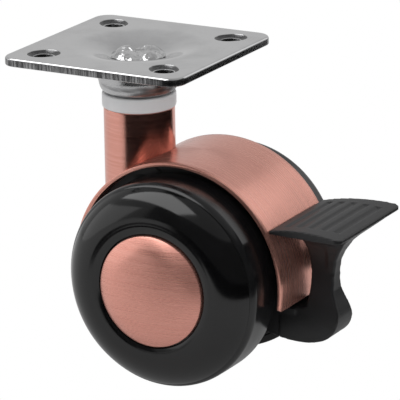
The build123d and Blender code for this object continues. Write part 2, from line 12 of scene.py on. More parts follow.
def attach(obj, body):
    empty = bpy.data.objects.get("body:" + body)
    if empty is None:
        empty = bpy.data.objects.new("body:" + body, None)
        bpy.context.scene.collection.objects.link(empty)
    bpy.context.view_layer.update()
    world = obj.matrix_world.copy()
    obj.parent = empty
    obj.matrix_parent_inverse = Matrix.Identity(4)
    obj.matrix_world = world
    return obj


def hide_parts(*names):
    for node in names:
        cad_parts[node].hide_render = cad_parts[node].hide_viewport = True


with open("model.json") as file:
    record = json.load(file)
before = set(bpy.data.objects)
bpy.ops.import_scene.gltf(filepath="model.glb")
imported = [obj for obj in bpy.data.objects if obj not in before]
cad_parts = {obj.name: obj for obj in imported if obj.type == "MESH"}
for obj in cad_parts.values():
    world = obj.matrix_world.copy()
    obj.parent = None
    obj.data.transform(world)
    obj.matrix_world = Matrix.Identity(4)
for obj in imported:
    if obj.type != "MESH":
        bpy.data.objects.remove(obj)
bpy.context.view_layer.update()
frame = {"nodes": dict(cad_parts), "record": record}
mm = 0.001
tiny = 1e-6
axleX, axleZ = 17.2, -51.25  # millimetres, as all sizes of the pieces below
turnedSteps = 160  # points round a piece that was turned on the lathe
bodyOf = {node: body for body, nodes in frame["record"]["behaviour"]["bodies"].items() for node in nodes}
print("castor: frame loaded,", len(bodyOf), "nodes")


# Node trees: a Link wraps a socket, and an expression on links adds its Math nodes
class Link:
    def __init__(self, tree, socket):
        self.tree, self.socket = tree, socket

    def math(self, operation, first, second=0.0):
        return self.tree.add("ShaderNodeMath", {"operation": operation}, {0: first, 1: second})

    def __add__(self, other):
        return self.math("ADD", self, other)

    def __sub__(self, other):
        return self.math("SUBTRACT", self, other)

    def __mul__(self, other):
        return self.math("MULTIPLY", self, other)

    def __radd__(self, other):
        return self.math("ADD", other, self)

    def __rsub__(self, other):
        return self.math("SUBTRACT", other, self)

    def __rmul__(self, other):
        return self.math("MULTIPLY", other, self)

    def __pow__(self, other):
        return self.math("POWER", self, other)


class Tree:
    def __init__(self, nodeTree):
        self.nodes, self.links = nodeTree.nodes, nodeTree.links

    # Adds a node: its settings first, then a value or a link for each named or numbered input
    def add(self, kind, settings=None, inputs=None, output=0):
        node = self.nodes.new(kind)
        for name, value in (settings or {}).items():
            setattr(node, name, value)
        for name, value in (inputs or {}).items():
            if isinstance(value, Link):
                self.links.new(value.socket, node.inputs[name])
            else:
                node.inputs[name].default_value = value
        return Link(self, node.outputs[output])

    def mixColour(self, share, first, second):
        return self.add("ShaderNodeMix", {"data_type": "RGBA"}, {0: share, 6: first, 7: second}, output=2)

    def noise(self, place, scale, detail=2.0, roughness=0.5):
        return self.add("ShaderNodeTexNoise", None, {
            "Vector": place, "Scale": scale, "Detail": detail, "Roughness": roughness,
        })

    def stretched(self, place, factors):
        return self.add("ShaderNodeVectorMath", {"operation": "MULTIPLY"}, {0: place, 1: factors})

    def ramp(self, value, low, high, to=(0.0, 1.0)):
        return self.add("ShaderNodeMapRange", None, {0: value, 1: low, 2: high, 3: to[0], 4: to[1]})


def rgba(colour):
    return (*colour, 1.0)


# Starts a material and hands back its tree, the object coordinates and the shader
def startMaterial(name, constants):
    material = bpy.data.materials.new(name)
    material.use_nodes = True
    tree = Tree(material.node_tree)
    shader = tree.nodes["Principled BSDF"]
    for socket, value in constants.items():
        shader.inputs[socket].default_value = value
    place = tree.add("ShaderNodeTexCoord", output=3)
    return material, tree, place, shader


def joinBump(tree, shader, height, strength, distance):
    bump = tree.add("ShaderNodeBump", None, {"Strength": strength, "Distance": distance, "Height": height})
    tree.links.new(bump.socket, shader.inputs["Normal"])


def join(tree, link, shader, socket):
    tree.links.new(link.socket, shader.inputs[socket])


# Shares a value between two links, and spreads limits over a link that runs from 0 to 1
def blended(first, second, share):
    return first * share + second * (1.0 - share)


def between(limits, share):
    return limits[0] + (limits[1] - limits[0]) * share


# Brushed copper plating: fine lines run along the axes whose stretch is small
copperLooks = {
    "stemCopper": {
        "base": (0.84, 0.42, 0.35), "dark": (0.72, 0.32, 0.25), "rough": (0.12, 0.24), "metallic": 1.0,
        "stretch": (0.012, 0.012, 1.0), "lineScale": 8000.0, "bandScale": 1100.0, "bump": 0.7,
        "anisotropic": 0.0, "anisotropicTurn": 0.0,
    },
    "hoodCopper": {
        "base": (0.86, 0.43, 0.35), "dark": (0.76, 0.35, 0.28), "rough": (0.18, 0.32), "metallic": 0.9,
        "stretch": (0.012, 1.0, 0.012), "lineScale": 8000.0, "bandScale": 1500.0, "bump": 0.5,
        "anisotropic": 0.8, "anisotropicTurn": 0.0,
    },
    "capCopper": {
        "base": (0.80, 0.38, 0.31), "dark": (0.68, 0.30, 0.24), "rough": (0.24, 0.32), "metallic": 0.78,
        "stretch": (0.012, 0.012, 1.0), "lineScale": 9000.0, "bandScale": 2600.0, "bump": 0.5,
        "anisotropic": 0.85, "anisotropicTurn": 0.25,
    },
}
brushing = {
    "cloudScale": 120.0, "streak": (0.38, 0.62), "streakShare": 0.6, "roughShare": 0.7, "bumpShare": 0.7,
    "bumpDepth": 0.00003,
}


def brushedCopper(name, look, wear=brushing):
    material, tree, place, shader = startMaterial(name, {
        "Metallic": look["metallic"], "Anisotropic": look["anisotropic"],
        "Anisotropic Rotation": look["anisotropicTurn"],
    })
    drawn = tree.stretched(place, look["stretch"])
    lines = tree.noise(drawn, look["lineScale"], 3.0, 0.65)
    bands = tree.noise(drawn, look["bandScale"], 2.0, 0.55)
    cloud = tree.noise(place, wear["cloudScale"])
    streak = tree.ramp(blended(lines, bands, wear["streakShare"]), *wear["streak"])
    join(tree, tree.mixColour(streak, rgba(look["dark"]), rgba(look["base"])), shader, "Base Color")
    join(tree, between(look["rough"], blended(streak, cloud, wear["roughShare"])), shader, "Roughness")
    joinBump(tree, shader, blended(lines, bands, wear["bumpShare"]), look["bump"], wear["bumpDepth"])
    return material


# Bright zinc on pressed steel: nearly mirror-like, with waves, stains and hairlines; on the cup the stain
# mask paints dark bands of shade
zincLooks = {
    # The cup's dull tone is painted shade: the stain mask lays it in dark bands round the cup, for the shade
    # under the plate
    "cupZinc": {
        "base": (0.52, 0.52, 0.525), "dull": (0.10, 0.10, 0.105), "rough": (0.27, 0.42),
        "stretch": (0.35, 0.35, 2.2), "cloudScale": 230.0, "waveScale": 260.0,
        "wave": 0.9, "waveDepth": 0.0004,
    },
    "rivetZinc": {
        "base": (0.68, 0.68, 0.685), "dull": (0.46, 0.46, 0.465), "rough": (0.18, 0.34),
        "stretch": (1.0, 1.0, 1.0), "cloudScale": 420.0, "waveScale": 620.0,
        "wave": 1.0, "waveDepth": 0.0007,
    },
}
zincWear = {
    "stainAndShade": (0.45, 0.72), "hairScale": 700.0, "hairStretch": (1.0, 18.0, 1.0), "scratch": (0.62, 0.70),
    "stainShare": 0.6, "grainScale": 2600.0, "grainShare": 0.02,
}


# The edges, where a look has them, give a mask of bare steel on the cut edges and of painted shade in the
# holes' mouths, and the tear lines on it
def brightZinc(name, look, edges=None, wear=zincWear):
    material, tree, place, shader = startMaterial(name, {"Metallic": 1.0})
    drawn = tree.stretched(place, look["stretch"])
    # This mask is staining on the plate and the rivet, and painted shade on the cup
    stainAndShade = tree.ramp(tree.noise(drawn, look["cloudScale"], 4.0, 0.6), *wear["stainAndShade"])
    hair = tree.noise(tree.stretched(place, wear["hairStretch"]), wear["hairScale"], 3.0, 0.7)
    scratch = tree.ramp(hair, *wear["scratch"])
    colour = tree.mixColour(stainAndShade, rgba(look["base"]), rgba(look["dull"]))
    rough = between(look["rough"], blended(stainAndShade, scratch, wear["stainShare"]))
    grain = tree.noise(place, wear["grainScale"])
    height = tree.noise(drawn, look["waveScale"], 1.0, 0.4) + grain * wear["grainShare"]
    if edges:
        cut, lines = edges(tree, place)
        # Where the mask is 1 the tone is that of the cut edges: bare steel on the rim and bores, painted
        # shade in the holes' mouths
        colour = tree.mixColour(cut, colour, tree.mixColour(lines, rgba(look["shearedAndShade"]), rgba(look["torn"])))
        rough = rough + cut * look["shearedRough"]
        height = height + cut * lines * look["shearedBump"]
    join(tree, colour, shader, "Base Color")
    join(tree, rough, shader, "Roughness")
    joinBump(tree, shader, height, look["wave"], look["waveDepth"])
    return material


# Turned or rolled steel, satin
steelLooks = {
    "steel": {"base": (0.56, 0.56, 0.57), "rough": (0.22, 0.36)},
    "springSteel": {"base": (0.30, 0.30, 0.32), "rough": (0.25, 0.4)},
}
steelLines = {
    "stretch": (1.0, 9.0, 9.0), "scale": 1800.0, "range": (0.3, 0.7), "dark": 0.82, "bump": 0.15,
    "bumpDepth": 0.00002,
}


def plainSteel(name, look, wear=steelLines):
    material, tree, place, shader = startMaterial(name, {"Metallic": 1.0})
    lines = tree.noise(tree.stretched(place, wear["stretch"]), wear["scale"], 3.0, 0.6)
    dark = tuple(wear["dark"] * part for part in look["base"])
    join(tree, tree.mixColour(lines, rgba(look["base"]), rgba(dark)), shader, "Base Color")
    join(tree, tree.ramp(lines, *wear["range"], look["rough"]), shader, "Roughness")
    joinBump(tree, shader, lines, wear["bump"], wear["bumpDepth"])
    return material


# Moulded plastics: grain is the fine pitting, and wave the share of slow waves in a glossy face
plasticLooks = {
    "nylon": {
        "base": (0.88, 0.88, 0.89), "worn": (0.82, 0.82, 0.83), "rough": (0.32, 0.45),
        "grainScale": 2200.0, "wave": 0.0, "bump": 0.1, "bumpDepth": 0.00003,
    },
    "acetal": {
        "base": (0.70, 0.69, 0.65), "worn": (0.64, 0.63, 0.60), "rough": (0.35, 0.5),
        "grainScale": 2200.0, "wave": 0.0, "bump": 0.1, "bumpDepth": 0.00003,
    },
    "carrierPlastic": {
        "base": (0.010, 0.010, 0.010), "worn": (0.018, 0.018, 0.019), "rough": (0.4, 0.55),
        "grainScale": 3000.0, "wave": 0.0, "bump": 0.3, "bumpDepth": 0.00004,
    },
    "faceGloss": {
        "base": (0.002, 0.002, 0.0022), "worn": (0.003, 0.003, 0.0033), "rough": (0.09, 0.15),
        "grainScale": 900.0, "wave": 0.6, "bump": 0.05, "bumpDepth": 0.00003,
    },
    "treadGloss": {
        "base": (0.004, 0.004, 0.0045), "worn": (0.007, 0.007, 0.0075), "rough": (0.15, 0.24),
        "grainScale": 1200.0, "wave": 0.5, "bump": 0.06, "bumpDepth": 0.00003,
    },
    "leverPlastic": {
        "base": (0.006, 0.006, 0.0065), "worn": (0.010, 0.010, 0.011), "rough": (0.38, 0.52),
        "grainScale": 3600.0, "wave": 0.0, "bump": 0.35, "bumpDepth": 0.00005,
    },
    "padRubber": {
        "base": (0.03, 0.03, 0.03), "worn": (0.05, 0.05, 0.05), "rough": (0.6, 0.8),
        "grainScale": 2600.0, "wave": 0.0, "bump": 0.3, "bumpDepth": 0.00005,
    },
}
plasticWear = {"cloudScale": 160.0, "worn": (0.35, 0.7), "cloudShare": 0.5, "waveScale": 130.0}


def mouldedPlastic(name, look, wear=plasticWear):
    material, tree, place, shader = startMaterial(name, {"IOR": 1.5})
    cloud = tree.noise(place, wear["cloudScale"], 3.0, 0.55)
    grain = tree.noise(place, look["grainScale"], 3.0, 0.6)
    waves = tree.noise(place, wear["waveScale"], 1.0, 0.4)
    worn = tree.ramp(cloud, *wear["worn"])
    join(tree, tree.mixColour(worn, rgba(look["base"]), rgba(look["worn"])), shader, "Base Color")
    join(tree, between(look["rough"], blended(cloud, grain, wear["cloudShare"])), shader, "Roughness")
    joinBump(tree, shader, blended(waves, grain, look["wave"]), look["bump"], look["bumpDepth"])
    return material


makers = (
    (brushedCopper, copperLooks), (brightZinc, zincLooks), (plainSteel, steelLooks),
    (mouldedPlastic, plasticLooks),
)
finishes = {name: make(name, look) for make, looks in makers for name, look in looks.items()}
print("castor: materials made")


# An arc through three points
def arcThrough(start, middle, end, steps):
    (ax, ay), (bx, by), (cx, cy) = start, middle, end
    d = 2 * (ax * (by - cy) + bx * (cy - ay) + cx * (ay - by))
    ux = ((ax**2 + ay**2) * (by - cy) + (bx**2 + by**2) * (cy - ay) + (cx**2 + cy**2) * (ay - by)) / d
    uy = ((ax**2 + ay**2) * (cx - bx) + (bx**2 + by**2) * (ax - cx) + (cx**2 + cy**2) * (bx - ax)) / d
    turns = [atan2(y - uy, x - ux) for x, y in (start, middle, end)]
    toEnd = (turns[2] - turns[0]) % (2 * pi)
    if (turns[1] - turns[0]) % (2 * pi) > toEnd:
        toEnd -= 2 * pi
    radius = hypot(ax - ux, ay - uy)
    return [
        (ux + radius * cos(turns[0] + toEnd * i / steps), uy + radius * sin(turns[0] + toEnd * i / steps))
        for i in range(steps + 1)
    ]


# Rounds the corners of a closed outline whose points are (along, radius, corner radius)
def roundedOutline(points, steps=5):
    outline = []
    count = len(points)
    for i, (along, radius, corner) in enumerate(points):
        here = Vector((along, radius))
        before = Vector(points[i - 1][:2]) - here
        after = Vector(points[(i + 1) % count][:2]) - here
        if corner <= 0 or radius < tiny:
            outline.append((along, radius))
            continue
        run = corner / max(tan(before.angle(after) / 2), 1e-3)
        run = min(run, 0.49 * before.length, 0.49 * after.length)  # so that two roundings never meet
        first, last = here + before.normalized() * run, here + after.normalized() * run
        for k in range(steps + 1):
            t = k / steps
            point = first * (1 - t) ** 2 + here * 2 * t * (1 - t) + last * t**2
            outline.append((point.x, point.y))
    return outline


# A smooth line through points, for drawn and moulded profiles
def smoothLine(points, steps=6):
    line = []
    for i in range(len(points) - 1):
        p0, p1, p2, p3 = (Vector(points[min(max(k, 0), len(points) - 1)]) for k in range(i - 1, i + 3))
        for k in range(steps):
            t = k / steps
            line.append(tuple(0.5 * (
                2 * p1 + (p2 - p0) * t + (2 * p0 - 5 * p1 + 4 * p2 - p3) * t**2
                + (3 * p1 - p0 - 3 * p2 + p3) * t**3
            )))
    return line + [tuple(points[-1])]


def circle(radius, steps):
    return [(radius * cos(2 * pi * i / steps), radius * sin(2 * pi * i / steps)) for i in range(steps)]


def asObject(name, bm):
    mesh = bpy.data.meshes.new(name)
    bm.to_mesh(mesh)
    bm.free()
    return bpy.data.objects.new(name, mesh)


def asBmesh(mesh):
    bm = bmesh.new()
    bm.from_mesh(mesh)
    return bm


# The mesh that an object's modifiers make
def evaluatedMesh(item):
    depsgraph = bpy.context.evaluated_depsgraph_get()
    return bpy.data.meshes.new_from_object(item.evaluated_get(depsgraph))


# Takes one object away from another and hands back the result as a bmesh
def subtracted(whole, cutter):
    for item in (whole, cutter):
        bpy.context.scene.collection.objects.link(item)
    boolean = whole.modifiers.new("cut", "BOOLEAN")
    boolean.operation, boolean.solver, boolean.object = "DIFFERENCE", "EXACT", cutter
    bm = asBmesh(evaluatedMesh(whole))
    for item in (whole, cutter):
        bpy.data.objects.remove(item)
    return bm


# A copy of a node's loose triangles, joined up, in metres
def nodeMesh(node):
    bm = asBmesh(frame["nodes"][node].data)
    bmesh.ops.remove_doubles(bm, verts=bm.verts, dist=2e-6)
    return bm


# Turns a bmesh into a finished piece that stands for its node and rides on that node's body
def finishPiece(name, bm, finish, node, sharpAngle=32.0, turnNormals=True):
    bmesh.ops.remove_doubles(bm, verts=bm.verts, dist=1e-7)
    if turnNormals:
        bmesh.ops.recalc_face_normals(bm, faces=bm.faces)
    piece = asObject(name, bm)
    piece.data.shade_smooth()
    piece.data.set_sharp_from_angle(angle=radians(sharpAngle))
    piece.data.materials.clear()  # and with them the slot numbers that a cut leaves on its faces
    piece.data.materials.append(finishes[finish])
    bpy.context.scene.collection.objects.link(piece)
    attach(piece, bodyOf[node])
    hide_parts(node)


# Revolves an outline of (along, radius) about the stem's axis or the axle
def revolved(outline, about, steps=turnedSteps):
    bm = bmesh.new()

    def put(along, across, up):
        if about == "stem":
            return bm.verts.new((across * mm, up * mm, along * mm))
        return bm.verts.new(((axleX + across) * mm, along * mm, (axleZ + up) * mm))

    rings = [
        [put(along, *point) for point in ([(0.0, 0.0)] if radius < tiny else circle(radius, steps))]
        for along, radius in outline
    ]
    pairs = list(zip(rings, rings[1:]))
    if outline[0][1] > tiny or outline[-1][1] > tiny:
        pairs.append((rings[-1], rings[0]))
    for a, b in pairs:
        for i in range(steps):
            j = (i + 1) % steps
            corners = (a[i % len(a)], a[j % len(a)], b[j % len(b)], b[i % len(b)])
            corners = tuple(dict.fromkeys(corners))
            if len(corners) > 2:
                bm.faces.new(corners)
    return bm


# Mounting plate: rounded rim, soft dish, well for the rivet head and four holes with oblong mouths
plateSizes = {
    "half": 24.0, "corner": 4.0, "rim": 0.6, "lowerRim": 0.25, "thickness": 2.0, "bore": 4.02,
    "dish": [(4.02, -2.5), (6.5, -2.5), (7.3, -2.2), (8.4, -1.7), (10.0, -1.12), (12.0, -0.56), (15.0, -0.02),
             (17.0, 0.0), (40.0, 0.0)],
    "softness": [(7.5, 0.3), (10.5, 1.3)],
    "belly": [(4.02, -4.5), (8.6, -4.5), (9.1, -3.4), (15.3, -2.0), (40.0, -2.0)],
    "holeAt": 16.25, "holeRadius": 2.3,
    "mouthLength": 8.0, "mouthWidth": 6.8, "mouthDepth": 0.8, "mouthPower": 0.3,
    "mouthWall": [(-0.35, 0.0), (-0.1, 0.0), (-0.04, 0.01), (0.0, 0.06), (0.03, 0.16), (0.1, 0.3),
                  (0.3, 0.55), (0.6, 0.84), (0.74, 0.94), (0.8, 0.97), (0.97, 1.0), (1.0, 1.08)],
    "insets": [0.0, 0.02, 0.08, 0.17, 0.29, 0.43, 0.6, 1.0],
    "rings": [4.02, 5.0, 6.2, 7.0, 7.4, 7.6, 7.75, 7.9, 8.05, 8.2, 8.35, 8.5, 8.65, 8.8, 8.95, 9.1, 9.4,
              10.0, 10.8, 11.6, 12.4, 13.2, 13.8, 14.3, 14.7, 15.0, 15.3, 15.7, 16.1, 16.6, 17.1, 17.6],
    "ringSteps": 144, "holeSteps": 48, "cornerSteps": 12, "sideSteps": 16, "margin": 0.02,
}
plateLook = {
    "base": (0.64, 0.64, 0.645), "dull": (0.54, 0.54, 0.545), "rough": (0.08, 0.19),
    "stretch": (1.0, 1.0, 1.0), "cloudScale": 90.0, "waveScale": 170.0, "wave": 0.10, "waveDepth": 0.0001,
    "shearedAndShade": (0.09, 0.09, 0.092), "torn": (0.38, 0.38, 0.385), "shearedRough": 0.16, "shearedBump": 3.0,
}
# The holes' mouths are painted dark as shade, all but a pale ledge round each bore
shearingAndShade = {
    "edge": 0.07, "edgeSoft": 0.4, "mouthReach": 4.4, "mouthSoft": 0.1, "mouthDepth": (0.04, 0.12),
    "ledge": (2.34, 2.64), "ledgeSoft": 0.03, "lineScale": 2400.0, "lineStretch": (1.0, 1.0, 0.06),
    "lines": (0.4, 0.62), "smoothFrom": (-2.0, 1.0), "smoothMost": 0.7, "smoothTone": 1.1, "mouthShade": 0.75,
}
quarters = ((1, 1), (-1, 1), (-1, -1), (1, -1))


# Sheared metal and painted shade: 1 on the plate's outer edges and in its holes, with the upright tear lines
# of the punch; the bores are cut steel, and the dark in the mouths round them is painted shade
def shearedEdgesAndShade(tree, place, look=shearingAndShade, sizes=plateSizes):
    split = tree.add("ShaderNodeSeparateXYZ", None, {0: place})
    parts = [Link(tree, output) for output in split.socket.node.outputs]
    x, y = (tree.add("ShaderNodeMath", {"operation": "ABSOLUTE"}, {0: part}) for part in parts[:2])
    flat, corner = (sizes["half"] - sizes["corner"]) * mm, sizes["corner"] * mm
    cx, cy = (part.math("MAXIMUM", part - flat, 0.0) for part in (x, y))
    edge = look["edge"] * mm
    rim = tree.ramp((cx * cx + cy * cy) ** 0.5, corner - edge, corner - edge * look["edgeSoft"])
    dx, dy = x - sizes["holeAt"] * mm, y - sizes["holeAt"] * mm
    away = (dx * dx + dy * dy) ** 0.5
    # The mouth mask below lays painted shade in the recesses round the holes, minus a ledge round each bore
    near = tree.ramp(away, (look["mouthReach"] + look["mouthSoft"]) * mm, look["mouthReach"] * mm)
    soft = look["ledgeSoft"]
    past, within = (tree.ramp(away, (radius - soft) * mm, (radius + soft) * mm) for radius in look["ledge"])
    near = near * (1.0 - past * (1.0 - within))
    deep = tree.ramp(parts[2], *(-depth * mm for depth in look["mouthDepth"]))
    lines = tree.noise(tree.stretched(place, look["lineStretch"]), look["lineScale"], 3.0, 0.7)
    first, last = (limit * mm for limit in look["smoothFrom"])
    smoother = tree.ramp(x - y, first, last, (0.0, look["smoothMost"])) * rim
    lines = tree.ramp(lines, *look["lines"]) * (1.0 - smoother) + smoother * look["smoothTone"]
    # In the mouths the tear lines are pulled towards the dark tone: painted shade
    return rim.math("MAXIMUM", rim, near * deep), lines * (1.0 - look["mouthShade"] * near)


def alongLine(line, r):
    for (r0, z0), (r1, z1) in zip(line, line[1:]):
        if r <= r1:
            return z0 + (z1 - z0) * max(r - r0, 0) / (r1 - r0)
    return line[-1][1]


# The dish's line, softened by an average over a width that grows outwards
def dishHeight(r, sizes=plateSizes, samples=6):
    width = alongLine(sizes["softness"], r)
    near = [max(r + width * k / samples, sizes["bore"]) for k in range(-samples, samples + 1)]
    return sum(alongLine(sizes["dish"], place) for place in near) / len(near)


def squareLoop(inset, sizes=plateSizes):
    half, corner = sizes["half"] - inset, sizes["corner"] - inset

    def onCorner(quarter, turn):
        sx, sy = quarters[quarter % 4]
        return sx * (half - corner) + corner * cos(turn), sy * (half - corner) + corner * sin(turn)

    loop = []
    arc, side = sizes["cornerSteps"], sizes["sideSteps"]
    for quarter in range(4):
        loop += [onCorner(quarter, pi / 2 * (quarter + i / arc)) for i in range(arc + 1)]
        (x0, y0), (x1, y1) = loop[-1], onCorner(quarter + 1, pi / 2 * (quarter + 1))
        loop += [(x0 + (x1 - x0) * k / side, y0 + (y1 - y0) * k / side) for k in range(1, side)]
    return loop


# A ring of a hole's wall: share is 0 at the oblong mouth and 1 at the round bore
def holeRing(hx, hy, share, sizes=plateSizes):
    dx, dy = copysign(1, hx) / sqrt(2), copysign(1, hy) / sqrt(2)
    reach = (sizes["mouthLength"] - sizes["mouthWidth"]) / 2
    ring = []
    for ux, uy in circle(1.0, sizes["holeSteps"]):
        outwards = ux * dx + uy * dy
        side, pull = 1 if outwards > 0 else -1, abs(outwards) ** sizes["mouthPower"]
        mx = hx + ux * sizes["mouthWidth"] / 2 + side * reach * dx * pull
        my = hy + uy * sizes["mouthWidth"] / 2 + side * reach * dy * pull
        bx, by = hx + ux * sizes["holeRadius"], hy + uy * sizes["holeRadius"]
        ring.append((mx + (bx - mx) * share, my + (by - my) * share))
    return ring


def mountingPlate(sizes=plateSizes):
    flat, heights, loops = [], [], []

    def addLoop(points, top, bottom):
        first = len(flat)
        flat.extend(Vector(point) for point in points)
        heights.extend([(top, bottom)] * len(points))
        loops.append(list(range(first, len(flat))))
        return loops[-1]

    rim, lower, base = sizes["rim"], sizes["lowerRim"], -sizes["thickness"]
    rimLoops = []
    for inset in sizes["insets"]:
        top = -rim + sqrt(max(rim**2 - (rim - min(inset, rim)) ** 2, 0))
        bottom = base + lower - sqrt(max(lower**2 - (lower - min(inset, lower)) ** 2, 0))
        rimLoops.append(addLoop(squareLoop(inset), top, bottom))
    dishLoops = [
        addLoop(circle(r, sizes["ringSteps"]), dishHeight(r), alongLine(sizes["belly"], r))
        for r in sizes["rings"]
    ]
    walls = [(rimLoops[0], True), (dishLoops[0], False)]
    holes = [(sx * sizes["holeAt"], sy * sizes["holeAt"]) for sx, sy in quarters]
    for hole in holes:
        for share, depth in sizes["mouthWall"]:
            bore = addLoop(holeRing(*hole, share), -depth * sizes["mouthDepth"], base)
        walls.append((bore, False))
    edges = [(loop[i], loop[(i + 1) % len(loop)]) for loop in loops for i in range(len(loop))]
    points, _, triangles, sources, _, _ = delaunay_2d_cdt(flat, edges, [], 0, tiny)
    bores = [(0.0, 0.0, sizes["bore"])] + [(*hole, sizes["holeRadius"]) for hole in holes]

    def inside(x, y):
        if any(hypot(x - bx, y - by) < radius - sizes["margin"] for bx, by, radius in bores):
            return False
        cx, cy = abs(x) - sizes["half"] + sizes["corner"], abs(y) - sizes["half"] + sizes["corner"]
        return max(cx, cy) < sizes["corner"] and not (cx > 0 and cy > 0 and hypot(cx, cy) > sizes["corner"])

    bm = bmesh.new()
    level = [heights[source[0]] for source in sources]
    upper = [bm.verts.new((p.x * mm, p.y * mm, z * mm)) for p, (z, w) in zip(points, level)]
    under = [bm.verts.new((p.x * mm, p.y * mm, w * mm)) for p, (z, w) in zip(points, level)]
    placeOf = {source: i for i, group in enumerate(sources) for source in group}
    for triangle in triangles:
        x, y = (sum(points[i][k] for i in triangle) / len(triangle) for k in (0, 1))
        if inside(x, y):
            bm.faces.new([upper[i] for i in triangle])
            bm.faces.new([under[i] for i in reversed(triangle)])
    for loop, outwards in walls:
        for i in range(len(loop)):
            a, b = placeOf[loop[i]], placeOf[loop[(i + 1) % len(loop)]]
            corners = (upper[a], under[a], under[b], upper[b])
            bm.faces.new(corners if outwards else tuple(reversed(corners)))
    finishPiece("plate_dressed", bm, "plateZinc", "mounting_plate", 40.0)


finishes["plateZinc"] = brightZinc("plateZinc", plateLook, shearedEdgesAndShade)
mountingPlate()

# Kingpin: lobed rivet head in the plate's well, and the hidden pin below it as (radius, z)
headSizes = {
    "radius": 6.8, "top": -0.6, "floor": -2.5, "least": 0.25, "lobes": 4, "turn": 74.0, "pinch": 0.06,
    "domeFrom": 0.5, "domeFall": 3.1, "dimple": 0.75, "dimpleShare": 0.45, "dimplePower": 1.5,
    "valley": 0.95, "valleyRise": 2.4, "valleyPower": 1.4, "rings": 30,
    "pin": [(6.1, -2.5), (4.0, -2.5), (4.0, -10.9), (5.0, -10.9), (5.0, -40.75), (4.3, -40.75), (4.3, -41.65),
            (5.0, -41.65), (5.0, -42.9), (4.4, -43.5)],
}


# 1 on a lobe's crest and 0 in the valley between two
def lobeAt(turn, sizes=headSizes):
    return 0.5 + 0.5 * cos(sizes["lobes"] * (turn - radians(sizes["turn"])))


def rivetTop(r, turn, sizes=headSizes):
    share = r / sizes["radius"]
    dome = 1 - max(share - sizes["domeFrom"], 0) ** 2 * sizes["domeFall"]
    dimple = sizes["dimple"] * max(1 - (share / sizes["dimpleShare"]) ** 2, 0) ** sizes["dimplePower"]
    depth = sizes["valley"] * (1 - lobeAt(turn)) ** sizes["valleyPower"]
    groove = depth * min(share * sizes["valleyRise"], 1) ** 2
    height = (sizes["top"] - sizes["floor"]) * dome - dimple - groove
    return sizes["floor"] + max(height, sizes["least"])


def kingpinPiece(sizes=headSizes):
    bm = bmesh.new()
    turns = [2 * pi * k / turnedSteps for k in range(turnedSteps)]

    def put(r, turn, z):
        return bm.verts.new((r * cos(turn) * mm, r * sin(turn) * mm, z * mm))

    grid = []
    for i in range(1, sizes["rings"] + 1):
        share = i / sizes["rings"]
        row = []
        for turn in turns:
            r = sizes["radius"] * share * (1 - sizes["pinch"] * (1 - lobeAt(turn)) ** 2 * share**4)
            row.append(put(r, turn, rivetTop(r, turn)))
        grid.append(row)
    grid += [[put(r, turn, z) for turn in turns] for r, z in sizes["pin"]]
    middle, end = put(0, 0, rivetTop(0, 0)), put(0, 0, sizes["pin"][-1][1])
    for k in range(turnedSteps):
        j = (k + 1) % turnedSteps
        bm.faces.new((middle, grid[0][k], grid[0][j]))
        bm.faces.new((end, grid[-1][j], grid[-1][k]))
        for a, b in zip(grid, grid[1:]):
            bm.faces.new((a[k], b[k], b[j], a[j]))
    finishPiece("kingpin_dressed", bm, "rivetZinc", "kingpin", 50.0)


kingpinPiece()

# Swivel cup, bush and stem tube, turned about the swivel axis: outlines are (z, radius)
cupSizes = {
    "outer": [(-3.45, 10.2), (-5.2, 10.05), (-6.8, 9.88), (-7.8, 9.72), (-8.6, 9.55), (-9.4, 9.36),
              (-10.0, 9.08), (-10.45, 8.74), (-10.75, 8.35), (-10.9, 7.9)],
    "inner": [(-10.9, 4.02), (-9.9, 4.02), (-9.9, 7.4), (-8.6, 8.6), (-6.8, 8.9), (-3.45, 9.2)],
}
cupOutline = smoothLine(cupSizes["outer"]) + cupSizes["inner"]
finishPiece("cup_dressed", revolved(cupOutline, "stem"), "cupZinc", "swivel_cup")

bushSizes = {
    "collar": 8.9, "top": -11.0, "bottom": -14.6, "round": 0.6,
    "sleeve": 7.03, "end": -24.6, "endRound": 0.2, "bore": 5.05, "boreRound": 0.3,
}
bushOutline = roundedOutline([
    (bushSizes["top"], bushSizes["bore"], bushSizes["boreRound"]),
    (bushSizes["top"], bushSizes["collar"], bushSizes["round"]),
    (bushSizes["bottom"], bushSizes["collar"], bushSizes["round"]),
    (bushSizes["bottom"], bushSizes["sleeve"], 0),
    (bushSizes["end"], bushSizes["sleeve"], bushSizes["endRound"]),
    (bushSizes["end"], bushSizes["bore"], 0),
])
finishPiece("bush_dressed", revolved(bushOutline, "stem"), "nylon", "swivel_bush")

tubeSizes = {"outer": 8.55, "inner": 7.05, "top": -14.6, "bottom": -50.0, "lip": 0.25}
tubeOutline = roundedOutline([
    (tubeSizes["top"], tubeSizes["inner"], 0), (tubeSizes["top"], tubeSizes["outer"], tubeSizes["lip"]),
    (tubeSizes["bottom"], tubeSizes["outer"], tubeSizes["lip"]), (tubeSizes["bottom"], tubeSizes["inner"], 0),
])
finishPiece("tube_dressed", revolved(tubeOutline, "stem"), "stemCopper", "stem_tube")
print("castor: plate and swivel head made")

# Hood: a bent strip with rounded corners, eased edges and a saddle-shaped hole for the tube
hoodSizes = {
    "outer": 27.85, "wall": 1.0, "half": 13.6, "start": -10.0, "end": 190.0, "corner": 1.2,
    "ends": [0.0, 0.02, 0.1, 0.25, 0.45, 0.7, 0.95, 1.2], "ease": 0.16, "easeMiddle": 0.29,
    "stations": 220, "across": 22, "tubeHole": 8.6, "holeTop": -10.0, "holeSteps": 128,
}


